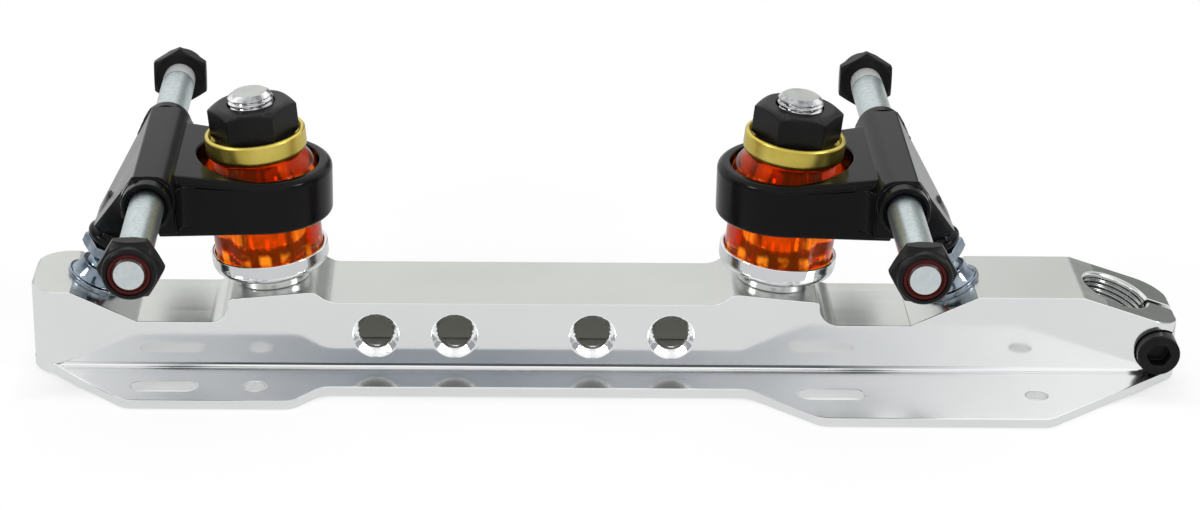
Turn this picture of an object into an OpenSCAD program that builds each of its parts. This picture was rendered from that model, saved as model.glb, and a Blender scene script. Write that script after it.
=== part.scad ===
// Roller skate plate: a machined plate with two sprung trucks, shown sole side down.
// Millimetres. +X points to the toe, +Z away from the boot, the origin is the middle of the boot face.

/* [Plate] */
// Distance between the two axles
wheelbase = 171.6; // [150:0.2:200]
// Rear axle to the heel end of the plate
heel_overhang = 30.2; // [28:0.2:40]
// Front axle to the nose of the plate
toe_overhang = 68.7; // [66:0.1:80]
// Width of the raised web
web_w = 24.4; // [23:0.1:28]
// Height of the spine between the trucks
spine_h = 19; // [18:0.1:20.4]
// Height of the heel and toe ends
end_h = 21.3; // [20:0.1:24]
// Thickness of the side walls of the hollow spine
web_wall = 3.2; // [2.4:0.1:4]
// Thickness of the top of the hollow spine
spine_roof = 2.8; // [2:0.1:3]
// Radius of the heel's corners in plan
heel_r = 7.5; // [4:0.5:10]
// Radius of the nose's corners in plan
nose_r = 7; // [4:0.5:8]
// Radius of the cove between web and flange
cove_r = 1.2; // [0.8:0.1:2]

/* [Flange] */
// Thickness of the flange
flange_t = 2.35; // [2:0.05:3.5]
// Width of the flange under the ball of the foot
ball_w = 74.6; // [66:0.2:84]
// Width of the flange under the heel
heel_w = 60.4; // [56:0.2:66]
// Width of the waist
waist_w = 45.4; // [40:0.2:48]
// Front axle to the waist end of the wide front flange
ball_back = 17.6; // [16:0.2:22]
// Front axle to the toe end of the wide front flange
ball_front = 35.1; // [34:0.2:38]
// Rear axle to the heel end of the wide rear flange
seat_back = 6.9; // [6:0.1:9]
// Rear axle to the waist end of the wide rear flange
seat_front = 32.3; // [28:0.2:36]
// Angle of the front flange's toe edge
toe_flare = 39; // [34:0.5:40]
// Angle of the front flange's waist edge
ball_flare = 42; // [35:0.5:50]
// Angle of the rear flange's waist edge
seat_flare = 49; // [40:0.5:60]
// Angle of the rear flange's heel edge
heel_flare = 45; // [43:0.5:48]
// Radius of the flange's corners
flange_r = 5; // [2:0.5:6]

/* [Boot mounting] */
// Diameter of the round boot holes
boot_hole_d = 5.2; // [4:0.1:6]
// Width of the boot slots
slot_w = 5.4; // [4:0.1:6]
// Length of the boot slots, end to end
slot_len = 15.5; // [10:0.5:18]
// Distance between the two rows of front boot holes
ball_row = 50; // [46:0.2:56]
// Distance between the two rows of rear boot holes
heel_row = 45.4; // [42:0.2:48]
// Front axle to the front holes
front_hole = 33.4; // [30:0.2:34]
// Front axle back to the middle of the front slots
front_slot = 14.2; // [8:0.2:16]
// Rear axle forward to the rear holes
rear_hole = 23.15; // [18:0.05:26]
// Rear axle forward to the middle of the rear slots
rear_slot = 2; // [1:0.2:6]

/* [Spine holes] */
// Diameter of the holes through the spine
side_hole_d = 7.7; // [6:0.1:8.4]
// Diameter of their countersinks
side_sink_d = 11.1; // [9:0.1:11.8]
// Height of the holes above the boot face
side_hole_h = 10.7; // [10:0.1:12]
// Middle of the spine to the inner pair of holes
side_inner = 16.2; // [12:0.1:18]
// Distance between the holes of a pair
side_pitch = 18.5; // [15:0.1:22]

/* [Toe stop] */
// Diameter of the toe stop hole
stop_d = 15.88; // [14:0.02:16]
// Depth of the chamfer round its mouth
stop_chamfer = 0.6; // [0.3:0.1:1]
// Length of the sloping toe face along X
toe_run = 23.3; // [22.5:0.1:26]
// Slope of the toe face
toe_slope = 18.7; // [16:0.1:20]
// Nose to the middle of the toe stop hole's mouth
stop_back = 13.8; // [13.6:0.1:15]
// Width of the clamping slit
slit_w = 2; // [1.2:0.1:2.6]
// Diameter of the clamp screw
clamp_d = 6; // [5:0.1:6]
// Diameter of its head
clamp_head_d = 10; // [9:0.1:10.2]
// Height of its head
clamp_head_h = 6; // [5:0.1:7]
// Hexagon socket across flats
clamp_key = 5; // [4:0.1:5]
// Nose to the clamp screw
clamp_back = 5.3; // [5:0.1:5.4]
// Height of the clamp screw above the boot face
clamp_h = 7.8; // [7.8:0.1:9]
// Depth of its head's seat in the side wall
clamp_seat = 3.3; // [2:0.1:3.4]

/* [Kingpin] */
// Axle to the kingpin's seat, along the plate
kingpin_back = 26.5; // [26:0.1:28]
// Lean of the kingpin towards its axle
kingpin_lean = 5.6; // [4:0.1:7]
// Diameter of the kingpin
kingpin_d = 11.1; // [10:0.05:12]
// Height of the kingpin above its seat
kingpin_top = 47; // [45:0.1:50]
// Depth of the kingpin in the plate
kingpin_depth = 14; // [10:0.1:15]
// Height of the kingpin seat above the boot face
seat_h = 20.7; // [20.4:0.1:22]
// Length of the kingpin seat
seat_len = 20; // [19.6:0.1:22]
// Length of the ramp from seat to spine
ramp_len = 3.8; // [3:0.1:5]
// Kingpin nut across flats
nut_af = 18.2; // [17:0.1:18.2]
// Height of the kingpin nut
nut_h = 8.6; // [7:0.1:9.5]
// Height of the cone turned on the kingpin nut's ends
nut_cone = 1.2; // [0.6:0.1:1.6]

/* [Cushions] */
// Outer diameter of the lower cup's rim
cup_d = 27.6; // [27:0.1:29]
// Diameter of the lower cup's foot
cup_foot_d = 18; // [16:0.1:20]
// Height of the lower cup
cup_h = 8; // [7:0.1:9]
// Height of the lower cup's floor
cup_floor = 3.8; // [3.4:0.1:4.5]
// Wall of the lower cup's rim
cup_wall = 0.9; // [0.7:0.1:1.2]
// Height of the lower cushion
lower_h = 16.8; // [16:0.1:18]
// Largest diameter of the upper cushion
upper_d = 27; // [26:0.1:27.4]
// Height of the upper cushion
upper_h = 6.6; // [6.2:0.1:8]
// Outer diameter of the upper washer
washer_d = 23.6; // [23.4:0.1:24.4]
// Height of the upper washer's rim
washer_h = 5.4; // [4:0.1:5.6]
// Thickness of the upper washer under the nut
washer_t = 3.7; // [3:0.1:4]
// Width of the upper washer's rim
washer_rim = 1.15; // [1.1:0.05:1.2]

/* [Pivot] */
// Height of the pocket floor beside the pivot
pocket_h = 13.9; // [13:0.1:15]
// Axle to the foot of the pivot slope
slope_start = 5; // [3:0.1:6]
// Angle of the pivot slope
slope_angle = 25.5; // [24:0.1:28]
// Foot of the slope to the pivot's axis
pivot_along = 12; // [11:0.1:13]
// Diameter of the pivot's ball
ball_d = 8.4; // [8:0.1:9]
// Height of the ball's centre above the slope
ball_h = 3.2; // [3:0.1:3.6]
// Diameter of the socket's flange
socket_flange_d = 14; // [13:0.1:15]
// Thickness of the socket's flange
socket_flange_t = 1.3; // [1:0.1:1.6]
// Height of the socket above the slope
socket_h = 4.8; // [4.6:0.1:5]
// Depth of the socket's threaded shank
socket_depth = 8; // [7:0.1:9]
// Thread diameter of the socket and the ball stud
pivot_thread_d = 8; // [7:0.1:8.4]
// Diameter of the ball stud's neck
neck_d = 5.2; // [4.6:0.1:5.6]
// Height of the jam nut's underside above the slope
jam_h = 7.8; // [7.6:0.1:8.4]
// Thickness of the jam nut
jam_t = 3; // [2.5:0.1:3.5]
// Jam nut across flats
jam_af = 12; // [11:0.1:13]

/* [Hanger] */
// Height of the axle above the boot face
axle_h = 48.7; // [47:0.1:51]
// Outer radius of the yoke ring
yoke_r = 16.6; // [16.2:0.1:17.5]
// Middle of the yoke's web down to the yoke's underside
yoke_drop = 5.6; // [5:0.1:6]
// Thickness of the yoke
yoke_t = 12.4; // [12:0.1:13.6]
// Radius of the yoke's upper edge
yoke_round = 1.8; // [1:0.1:2.2]
// Radius of the yoke's lower edge
yoke_under = 1; // [0.6:0.1:1.4]
// Rise of the yoke's arms from the ring to the beam
arm_rise = 3; // [2:0.1:3.4]
// Spread of each arm from the ring to the beam
arm_spread = 1.5; // [0.5:0.1:1.8]
// Thickness of the web inside the yoke ring
yoke_web = 4; // [3:0.1:5]
// Diameter of the hole in that web
yoke_hole_d = 15; // [14.6:0.1:16]
// Diameter of the cushion recesses in the yoke
recess_d = 28.2; // [27.8:0.1:28.6]
// Half length of the beam, without the end bosses
beam_half = 22.2; // [21.6:0.1:24]
// Half length of the beam over its end bosses
boss_half = 26; // [25:0.1:28]
// Diameter of the axle's end bosses
boss_d = 11.6; // [11.2:0.1:13]
// Axle to the inner face of the beam
beam_in = 6.3; // [6:0.1:7]
// Axle to the outer edge of the beam's flat top
beam_out = 3.2; // [3.1:0.1:4]
// Flat top of the beam above its end bosses
beam_rise = 0.2; // [0.2:0.1:1]
// Axle to the underside of the beam
beam_low = 8.2; // [7.4:0.1:9]
// Radius of the beam's upper inner edge
beam_round = 4.6; // [3:0.1:5]
// Thickness of the pivot arm
brace_t = 10; // [8:0.1:11]
// Diameter of the pivot boss
pivot_boss_d = 12.2; // [11.6:0.1:12.8]
// Radius of the bead round the pivot boss
bead_r = 1.35; // [1:0.05:1.4]
// Radius of the fillets between arm and beam
arm_fillet = 4.4; // [3:0.1:4.6]

/* [Axle] */
// Diameter of the axle
axle_d = 8; // [7:0.1:8]
// Length of the axle, end to end
axle_len = 126; // [116:0.5:130]
// Diameter of the axle's threaded ends
axle_end_d = 7.7; // [6.6:0.1:7.8]
// Length of the threaded ends
axle_end_len = 9; // [8:0.1:12]
// Axle nut across flats
axle_nut_af = 13; // [12.6:0.1:13.4]
// Height of the axle nut
axle_nut_h = 6.2; // [5.5:0.1:8]
// Height of the round collar at the nut's outer end
axle_collar = 2.4; // [1.4:0.1:2.6]
// Outer diameter of the nut's lock ring
ring_d = 9.8; // [9.4:0.1:10]
// Height of the lock ring
ring_h = 1.8; // [1.2:0.1:2.4]

/* [Clearances] */
// Radial clearance of a threaded or fitted pin
fit_gap = 0.05; // [0.02:0.01:0.1]
// Clearance between a soft piece and its seat
soft_gap = 0.3; // [0.2:0.05:0.4]
// Radial clearance round the kingpin
kingpin_gap = 0.2; // [0.1:0.05:0.3]

/* [Hidden] */

$fn = 64;
// Straight steps in one rounded corner of an outline
corner_steps = 8;
// Cuts run this far past a face
over = 1;

// Plate stations along X
plate_len = heel_overhang + wheelbase + toe_overhang;
heel_x = -plate_len / 2;
nose_x = plate_len / 2;
rear_x = heel_x + heel_overhang;
front_x = rear_x + wheelbase;
mid_x = (rear_x + front_x) / 2;
web_half = web_w / 2;

// Places in a truck's own frame: X outboard from the axle, Z up from the boot face
seat_in = -kingpin_back - seat_len / 2;
seat_out = -kingpin_back + seat_len / 2;
seat_drop = tan(kingpin_lean) * seat_len / 2;
slope_top = slope_start + (end_h - pocket_h) / tan(slope_angle);
pivot_x = slope_start + pivot_along * cos(slope_angle);
pivot_z = pocket_h + pivot_along * sin(slope_angle);

// Heights along the kingpin, from its seat
lower_top = cup_floor + lower_h;
web_low = lower_top + soft_gap;
web_high = web_low + yoke_web;
upper_low = web_high + soft_gap;
washer_low = upper_low + upper_h;
nut_low = washer_low + washer_t;
web_mid = (web_low + web_high) / 2;
yoke_x = -kingpin_back + web_mid * sin(kingpin_lean);
yoke_low = seat_h + web_mid * cos(kingpin_lean) - yoke_drop;
yoke_top = yoke_low + yoke_t;
arm_end = beam_round - beam_in;
lower_d = cup_d - 2 * cup_wall - soft_gap;
kingpin_r = kingpin_d / 2;
pin_way = kingpin_r + kingpin_gap;

// Heights along the pivot's axis, from the slope
boss_low = jam_h + jam_t;
stud_top = boss_low + 7.2;
pivot_bore = pivot_thread_d / 2 + fit_gap;
ball_r = ball_d / 2;
// The pivot boss reaches up into the beam
boss_reach = 20;

// The pivot arm's outer face runs from the beam's top edge to the pivot boss
pivot_boss_r = pivot_boss_d / 2;
beam_top = axle_h + boss_d / 2 + beam_rise;
brace_h = boss_low + 4.5;
brace_x = pivot_x - brace_h * sin(slope_angle) + pivot_boss_r * cos(slope_angle) - beam_out;
brace_z = beam_top - pivot_z - brace_h * cos(slope_angle) - pivot_boss_r * sin(slope_angle);
brace_angle = atan2(brace_z, brace_x);
brace_len = norm([brace_x, brace_z]);

function unit(v) = v / norm(v);
function flat(p) = [p.x, p.y];
function turn(v, a) = [v.x * cos(a) - v.y * sin(a), v.x * sin(a) + v.y * cos(a)];
function mirrored(half) = concat(half, [for (i = [len(half) - 1:-1:0]) [half[i].x, -half[i].y, half[i].z]]);

// Corner b of an outline, between a and c, as an arc of radius b.z
function arc_at(a, b, c) =
    b.z == 0 ? [flat(b)] :
    let (
        u = unit(flat(a) - flat(b)),
        v = unit(flat(c) - flat(b)),
        half = acos(u * v) / 2,
        middle = flat(b) + unit(u + v) * b.z / sin(half),
        first = flat(b) + u * b.z / tan(half) - middle,
        sweep = -sign(cross(u, v)) * (180 - 2 * half)
    )
    [for (k = [0:corner_steps]) middle + turn(first, sweep * k / corner_steps)];

// Outline through corners [x, y, radius]
function rounded(c) =
    [for (i = [0:len(c) - 1]) each arc_at(c[(i + len(c) - 1) % len(c)], c[i], c[(i + 1) % len(c)])];

// Places a truck's pieces at the front axle
module front() {
    translate([front_x, 0, 0]) children();
}

// Places a truck's pieces at the rear axle, facing the other way
module rear() {
    translate([rear_x, 0, 0]) mirror([1, 0, 0]) children();
}

// Puts Z on the kingpin's axis, zero at its seat
module on_kingpin() {
    translate([-kingpin_back, 0, seat_h]) rotate([0, kingpin_lean, 0]) children();
}

// Puts Z on the pivot's axis, zero at the slope
module on_pivot() {
    translate([pivot_x, 0, pivot_z]) rotate([0, -slope_angle, 0]) children();
}

// Puts Z on the toe stop's axis, zero at the toe face
module on_toe_face() {
    drop = (toe_run - stop_back) * tan(toe_slope);
    translate([nose_x - stop_back, 0, end_h - drop]) rotate([0, toe_slope, 0]) children();
}

// Lays Z along +Y
module along_y() {
    rotate([-90, 0, 0]) children();
}

// Hexagon across flats
module hexagon(af, h) {
    cylinder(d = af / cos(30), h = h, $fn = 6);
}

// Hexagon nut with both ends turned to a cone
module hex_nut(af, h, bore_r, chamfer) {
    corner_r = af / cos(30) / 2;
    difference() {
        intersection() {
            hexagon(af, h);
            rotate_extrude() polygon([
                [0, 0], [af / 2 - chamfer, 0], [corner_r, chamfer],
                [corner_r, h - chamfer], [af / 2 - chamfer, h], [0, h]
            ]);
        }
        translate([0, 0, -over]) cylinder(r = bore_r, h = h + 2 * over);
    }
}

// Side view of one truck's seat, from its slope's top to the spine
function truck_side() = [
    [slope_top, end_h, 0.6],
    [slope_start, pocket_h, 1],
    [seat_out, pocket_h, 4.4],
    [seat_out, seat_h - seat_drop, 1],
    [seat_in, seat_h + seat_drop, 3],
    [seat_in - ramp_len, spine_h, 6]
];

module side_view() {
    side = truck_side();
    last = len(side) - 1;
    nose_h = end_h - toe_run * tan(toe_slope);
    polygon(rounded(concat(
        [[heel_x, 0, 0], [heel_x, end_h, 0.8]],
        [for (p = side) [rear_x - p.x, p.y, p.z]],
        [for (i = [last:-1:0]) [front_x + side[i].x, side[i].y, side[i].z]],
        [[nose_x - toe_run, end_h, 3], [nose_x, nose_h, 0.8], [nose_x, 0, 0]]
    )));
}

module web_plan() {
    polygon(rounded(mirrored([[heel_x, web_half, heel_r], [nose_x, web_half, nose_r]])));
}

module flange_plan() {
    ball_half = ball_w / 2;
    heel_half = heel_w / 2;
    waist_half = waist_w / 2;
    seat_a = rear_x - seat_back;
    seat_b = rear_x + seat_front;
    ball_a = front_x - ball_back;
    ball_b = front_x + ball_front;
    polygon(rounded(mirrored([
        [heel_x, heel_half - (seat_a - heel_x) * tan(heel_flare), 3],
        [seat_a, heel_half, flange_r],
        [seat_b, heel_half, flange_r],
        [seat_b + (heel_half - waist_half) / tan(seat_flare), waist_half, flange_r],
        [ball_a - (ball_half - waist_half) / tan(ball_flare), waist_half, flange_r],
        [ball_a, ball_half, flange_r],
        [ball_b, ball_half, flange_r],
        [nose_x, ball_half - (nose_x - ball_b) * tan(toe_flare), nose_r]
    ])));
}

// Hollow under the spine, between the two kingpins
module spine_hollow() {
    half_len = wheelbase / 2 - kingpin_back - kingpin_r - 6.5;
    half_w = web_half - web_wall;
    translate([mid_x, 0, -over]) linear_extrude(spine_h - spine_roof + over)
        polygon(rounded(mirrored([[-half_len, half_w, 4], [half_len, half_w, 4]])));
}

// Countersunk holes through the spine's side walls
module side_holes() {
    sink = (side_sink_d - side_hole_d) / 2;
    for (x = [-side_inner - side_pitch, -side_inner, side_inner, side_inner + side_pitch])
        translate([mid_x + x, 0, side_hole_h]) {
            along_y() cylinder(d = side_hole_d, h = web_w + 2 * over, center = true);
            for (s = [-1, 1]) rotate([90 * s, 0, 0]) translate([0, 0, web_half - sink])
                cylinder(d1 = side_hole_d, d2 = side_sink_d + 2 * over, h = sink + over);
        }
}

module boot_holes() {
    depth = flange_t + 2 * over;
    slot_reach = (slot_len - slot_w) / 2;
    for (s = [-1, 1]) translate([0, 0, -over]) {
        translate([front_x + front_hole, s * ball_row / 2, 0]) cylinder(d = boot_hole_d, h = depth);
        translate([rear_x + rear_hole, s * heel_row / 2, 0]) cylinder(d = boot_hole_d, h = depth);
        for (p = [[front_x - front_slot, ball_row / 2], [rear_x + rear_slot, heel_row / 2]])
            translate([p.x, s * p.y, 0]) {
                for (e = [-1, 1]) translate([e * slot_reach, 0, 0]) cylinder(d = slot_w, h = depth);
                translate([-slot_reach, -slot_w / 2, 0]) cube([2 * slot_reach, slot_w, depth]);
            }
    }
}

// Split toe stop hole with its clamp screw's seat
module toe_cuts() {
    stop_r = stop_d / 2;
    on_toe_face() {
        translate([0, 0, -2 * end_h]) cylinder(r = stop_r, h = 2 * end_h + over);
        translate([0, 0, -stop_chamfer])
            cylinder(r1 = stop_r, r2 = stop_r + stop_chamfer + over, h = stop_chamfer + over);
    }
    translate([nose_x - stop_back, -slit_w / 2, -over]) cube([stop_back + over, slit_w, end_h + 2 * over]);
    translate([nose_x - clamp_back, 0, clamp_h]) {
        along_y() cylinder(d = clamp_d + 2 * fit_gap, h = web_w + 2 * over, center = true);
        translate([0, clamp_seat - web_half, 0]) rotate([90, 0, 0])
            cylinder(d = clamp_head_d + 8 * fit_gap, h = clamp_seat + over);
    }
}

module truck_holes() {
    on_kingpin() translate([0, 0, -kingpin_depth - fit_gap])
        cylinder(r = kingpin_r + fit_gap, h = kingpin_depth + over + 2 * seat_drop);
    on_pivot() translate([0, 0, -socket_depth - fit_gap]) cylinder(r = pivot_bore, h = socket_depth + over);
}

// Cove along one side of the web
module cove() {
    cove_a = heel_x + heel_r;
    cove_b = nose_x - nose_r;
    intersection() {
        translate([cove_a, web_half, flange_t]) rotate([90, 0, 90]) linear_extrude(cove_b - cove_a)
            difference() {
                square(cove_r);
                translate([cove_r, cove_r]) circle(cove_r);
            }
        linear_extrude(flange_t + cove_r + over) flange_plan();
    }
}

module plate() {
    color("silver") difference() {
        union() {
            linear_extrude(flange_t) flange_plan();
            intersection() {
                translate([0, web_half + over, 0]) rotate([90, 0, 0])
                    linear_extrude(web_w + 2 * over) side_view();
                linear_extrude(end_h + over) web_plan();
            }
            cove();
            mirror([0, 1, 0]) cove();
        }
        spine_hollow();
        side_holes();
        boot_holes();
        toe_cuts();
        front() truck_holes();
        rear() truck_holes();
    }
}

module toe_clamp_screw() {
    shank = web_w - clamp_seat - 2;
    color("dimgray") translate([nose_x - clamp_back, clamp_seat - web_half, clamp_h]) difference() {
        union() {
            along_y() cylinder(d = clamp_d, h = shank);
            rotate([90, 0, 0]) cylinder(d = clamp_head_d, h = clamp_head_h);
        }
        translate([0, -clamp_head_h / 2, 0]) rotate([90, 0, 0]) hexagon(clamp_key, clamp_head_h);
    }
}

module kingpin() {
    tip = 1.2;
    color("lightgray") on_kingpin() rotate_extrude() polygon([
        [0, -kingpin_depth], [kingpin_r - tip, -kingpin_depth], [kingpin_r, tip - kingpin_depth],
        [kingpin_r, kingpin_top - tip], [kingpin_r - tip, kingpin_top], [0, kingpin_top]
    ]);
}

module lower_cup() {
    foot_r = cup_foot_d / 2;
    rim_r = cup_d / 2;
    color("gainsboro") on_kingpin() rotate_extrude() polygon(rounded([
        [pin_way, 0, 0], [foot_r, 0, 0.4], [foot_r, cup_floor / 2, 0.6], [rim_r, cup_floor, 2.6],
        [rim_r, cup_h, 0.3], [rim_r - cup_wall, cup_h, 0.3], [rim_r - cup_wall, cup_floor, 0],
        [pin_way, cup_floor, 0]
    ]));
}

module lower_cushion() {
    color("orangered") on_kingpin() rotate_extrude() polygon(rounded([
        [pin_way, cup_floor, 0], [lower_d / 2, cup_floor, 0.8], [lower_d / 2, lower_top, 0.8],
        [pin_way, lower_top, 0]
    ]));
}

module upper_cushion() {
    crown_r = washer_d / 2 - 1;
    color("orangered") on_kingpin() rotate_extrude() polygon(rounded([
        [pin_way, upper_low, 0], [upper_d / 2, upper_low, 0.8],
        [upper_d / 2, washer_low - upper_h * 0.3, 1.5], [crown_r, washer_low, 0.4], [pin_way, washer_low, 0]
    ]));
}

module upper_washer() {
    rim_r = washer_d / 2;
    dish_r = rim_r - washer_rim;
    color("goldenrod") on_kingpin() rotate_extrude() polygon(rounded([
        [pin_way, washer_low, 0], [rim_r, washer_low, 1.6], [rim_r, washer_low + washer_h, 0.7],
        [dish_r, washer_low + washer_h, 0.4], [dish_r, nut_low, 0.5], [pin_way, nut_low, 0]
    ]));
}

module kingpin_nut() {
    color("dimgray") on_kingpin() translate([0, 0, nut_low])
        hex_nut(nut_af, nut_h, kingpin_r + fit_gap, nut_cone);
}

module ball_socket() {
    thread_r = pivot_thread_d / 2;
    flange_rad = socket_flange_d / 2;
    lip_r = ball_r + 0.9;
    color("lightsteelblue") on_pivot() difference() {
        rotate_extrude() polygon([
            [0, -socket_depth], [thread_r, -socket_depth], [thread_r, 0], [flange_rad, 0],
            [flange_rad, socket_flange_t], [flange_rad - 0.8, socket_flange_t],
            [lip_r, socket_h - 0.9], [lip_r, socket_h], [0, socket_h]
        ]);
        translate([0, 0, ball_h]) sphere(r = ball_r + fit_gap);
    }
}

module ball_stud() {
    thread_r = pivot_thread_d / 2;
    color("lightsteelblue") on_pivot() {
        translate([0, 0, ball_h]) sphere(r = ball_r);
        rotate_extrude() polygon([
            [0, ball_h], [neck_d / 2, ball_h], [neck_d / 2, jam_h - 0.8], [thread_r, jam_h + 0.4],
            [thread_r, stud_top], [0, stud_top]
        ]);
    }
}

module jam_nut() {
    color("lightsteelblue") on_pivot() translate([0, 0, jam_h]) hex_nut(jam_af, jam_t, pivot_bore, 0.4);
}

// Outline of the yoke seen along the truck, as [height, y, radius] corners of its half
function yoke_half(rise, spread) = [
    [yoke_low, yoke_r + spread, yoke_under], [yoke_top + rise, yoke_r + spread, yoke_round]
];

// Arms of the yoke, which rise and spread from the ring to the beam
module arms() {
    ends = [[yoke_x, 0, 0], [arm_end, arm_rise, arm_spread]];
    count = len(rounded(mirrored(yoke_half(0, 0))));
    polyhedron(
        points = [for (e = ends) for (p = rounded(mirrored(yoke_half(e.y, e.z)))) [e.x, p.y, p.x]],
        faces = concat(
            [[for (i = [0:count - 1]) i], [for (i = [count - 1:-1:0]) count + i]],
            [for (i = [0:count - 1]) let (j = (i + 1) % count) [i, count + i, count + j, j]]
        )
    );
}

// Ring and arms of the yoke, before the cushion recesses are cut
module yoke() {
    fillet_low = axle_h - beam_low;
    fillet_y = yoke_r + arm_spread * (-beam_in - arm_fillet - yoke_x) / (arm_end - yoke_x);
    fillet_h = yoke_top + 0.6 * arm_rise - 0.7 * yoke_round - fillet_low;
    translate([yoke_x, 0, 0]) rotate([0, 0, 90]) rotate_extrude(angle = 180) polygon(rounded(concat(
        [[0, yoke_low, 0]], [for (p = yoke_half(0, 0)) [p.y, p.x, p.z]], [[0, yoke_top, 0]]
    )));
    arms();
    for (m = [0, 1]) mirror([0, m, 0])
        translate([-beam_in, fillet_y, fillet_low]) rotate([0, 0, 90]) linear_extrude(fillet_h)
            difference() {
                translate([-over, -over]) square(arm_fillet + over);
                translate([arm_fillet, arm_fillet]) circle(arm_fillet);
            }
}

// Beam that carries the axle
module beam() {
    low = axle_h - beam_low;
    knee = 5.2;
    along_y() translate([0, 0, -beam_half]) linear_extrude(2 * beam_half) polygon(rounded([
        [-beam_in, -beam_top, beam_round], [beam_out, -beam_top, 0],
        [beam_out + knee / tan(brace_angle), knee - beam_top, 0],
        [boss_d / 2 + 0.4, 4 - axle_h, 0], [0.5, -low, 0], [-beam_in, -low, 0]
    ]));
    translate([0, 0, axle_h]) along_y() cylinder(d = boss_d, h = 2 * boss_half, center = true);
}

// Arm down to the pivot, with the beaded boss that takes the ball stud
module brace() {
    brace_plan = mirrored([[0.2, beam_half - 0.6, 0], [brace_len, pivot_boss_r, 0]]);
    translate([beam_out, 0, beam_top]) rotate([0, brace_angle, 0]) translate([0, 0, -brace_t])
        linear_extrude(brace_t) polygon(rounded(brace_plan));
    on_pivot() rotate_extrude() {
        translate([0, boss_low]) square([pivot_boss_r - 0.4, 3]);
        translate([0, boss_low + 2]) square([pivot_boss_r, boss_reach - boss_low]);
        translate([pivot_boss_r - 0.7, boss_low + 1.5]) circle(bead_r);
    }
}

module hanger() {
    bead_recess = 0.8;
    color("#1c1c1e") difference() {
        union() {
            yoke();
            beam();
            brace();
        }
        on_kingpin() {
            translate([0, 0, web_high]) cylinder(d = recess_d, h = yoke_t);
            translate([0, 0, web_low - yoke_t]) cylinder(d = recess_d, h = yoke_t);
            cylinder(d = yoke_hole_d, h = kingpin_top);
        }
        on_pivot() translate([0, 0, boss_low - over])
            cylinder(r = pivot_bore, h = stud_top + fit_gap - boss_low + over);
        translate([0, 0, axle_h]) along_y() {
            cylinder(r = axle_d / 2 + fit_gap, h = 2 * boss_half + 2 * over, center = true);
            for (s = [0, 1]) mirror([0, 0, s]) translate([0, 0, boss_half - bead_recess])
                cylinder(d = boss_d - 2, h = bead_recess + over);
        }
    }
}

module axle() {
    tip = 0.5;
    half = axle_len / 2;
    color("lightsteelblue") translate([0, 0, axle_h]) along_y() rotate_extrude() polygon([
        [0, -half], [axle_end_d / 2 - tip, -half], [axle_end_d / 2, tip - half],
        [axle_end_d / 2, axle_end_len - half], [axle_d / 2, axle_end_len - half],
        [axle_d / 2, half - axle_end_len], [axle_end_d / 2, half - axle_end_len],
        [axle_end_d / 2, half - tip], [axle_end_d / 2 - tip, half], [0, half]
    ]);
}

// Puts Z outward along each axle end, zero at the inner face of its nut
module on_axle_ends() {
    for (s = [-1, 1]) translate([0, s * (axle_len / 2 - axle_nut_h), axle_h])
        rotate([-90 * s, 0, 0]) rotate([0, 0, s > 0 ? 30 : 0]) children();
}

module axle_nuts() {
    corner_r = axle_nut_af / cos(30) / 2;
    collar_r = axle_nut_af / 2 - 0.5;
    cone = 1.2;
    color("dimgray") on_axle_ends() difference() {
        intersection() {
            hexagon(axle_nut_af, axle_nut_h);
            rotate_extrude() polygon([
                [0, 0], [axle_nut_af / 2 - 0.3, 0], [corner_r, 0.8],
                [corner_r, axle_nut_h - axle_collar - cone], [collar_r, axle_nut_h - axle_collar],
                [collar_r, axle_nut_h - 0.5], [collar_r - 0.5, axle_nut_h], [0, axle_nut_h]
            ]);
        }
        translate([0, 0, -over]) cylinder(r = axle_end_d / 2 + fit_gap, h = axle_nut_h + 2 * over);
        translate([0, 0, axle_nut_h - ring_h]) cylinder(d = ring_d, h = ring_h + over);
    }
}

module lock_rings() {
    color("maroon") on_axle_ends() translate([0, 0, axle_nut_h - ring_h]) difference() {
        cylinder(d = ring_d - 2 * fit_gap, h = ring_h - 0.3);
        translate([0, 0, -over]) cylinder(r = axle_end_d / 2 + fit_gap, h = ring_h + 2 * over);
    }
}

plate();
toe_clamp_screw();
front() kingpin();  // front_kingpin
front() lower_cup();  // front_lower_cup
front() lower_cushion();  // front_lower_cushion
front() upper_cushion();  // front_upper_cushion
front() upper_washer();  // front_upper_washer
front() kingpin_nut();  // front_kingpin_nut
front() ball_socket();  // front_ball_socket
front() hanger();  // front_hanger
front() axle();  // front_axle
front() axle_nuts();  // front_axle_nuts
front() lock_rings();  // front_lock_rings
front() ball_stud();  // front_ball_stud
front() jam_nut();  // front_jam_nut
rear() kingpin();  // rear_kingpin
rear() lower_cup();  // rear_lower_cup
rear() lower_cushion();  // rear_lower_cushion
rear() upper_cushion();  // rear_upper_cushion
rear() upper_washer();  // rear_upper_washer
rear() kingpin_nut();  // rear_kingpin_nut
rear() ball_socket();  // rear_ball_socket
rear() hanger();  // rear_hanger
rear() axle();  // rear_axle
rear() axle_nuts();  // rear_axle_nuts
rear() lock_rings();  // rear_lock_rings
rear() ball_stud();  // rear_ball_stud
rear() jam_nut();  // rear_jam_nut
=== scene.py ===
"""Looks of a roller skate plate: polished plate, black trucks, clear orange cushions and zinc hardware."""
import math

import bpy
from mathutils import Matrix, Vector


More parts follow.
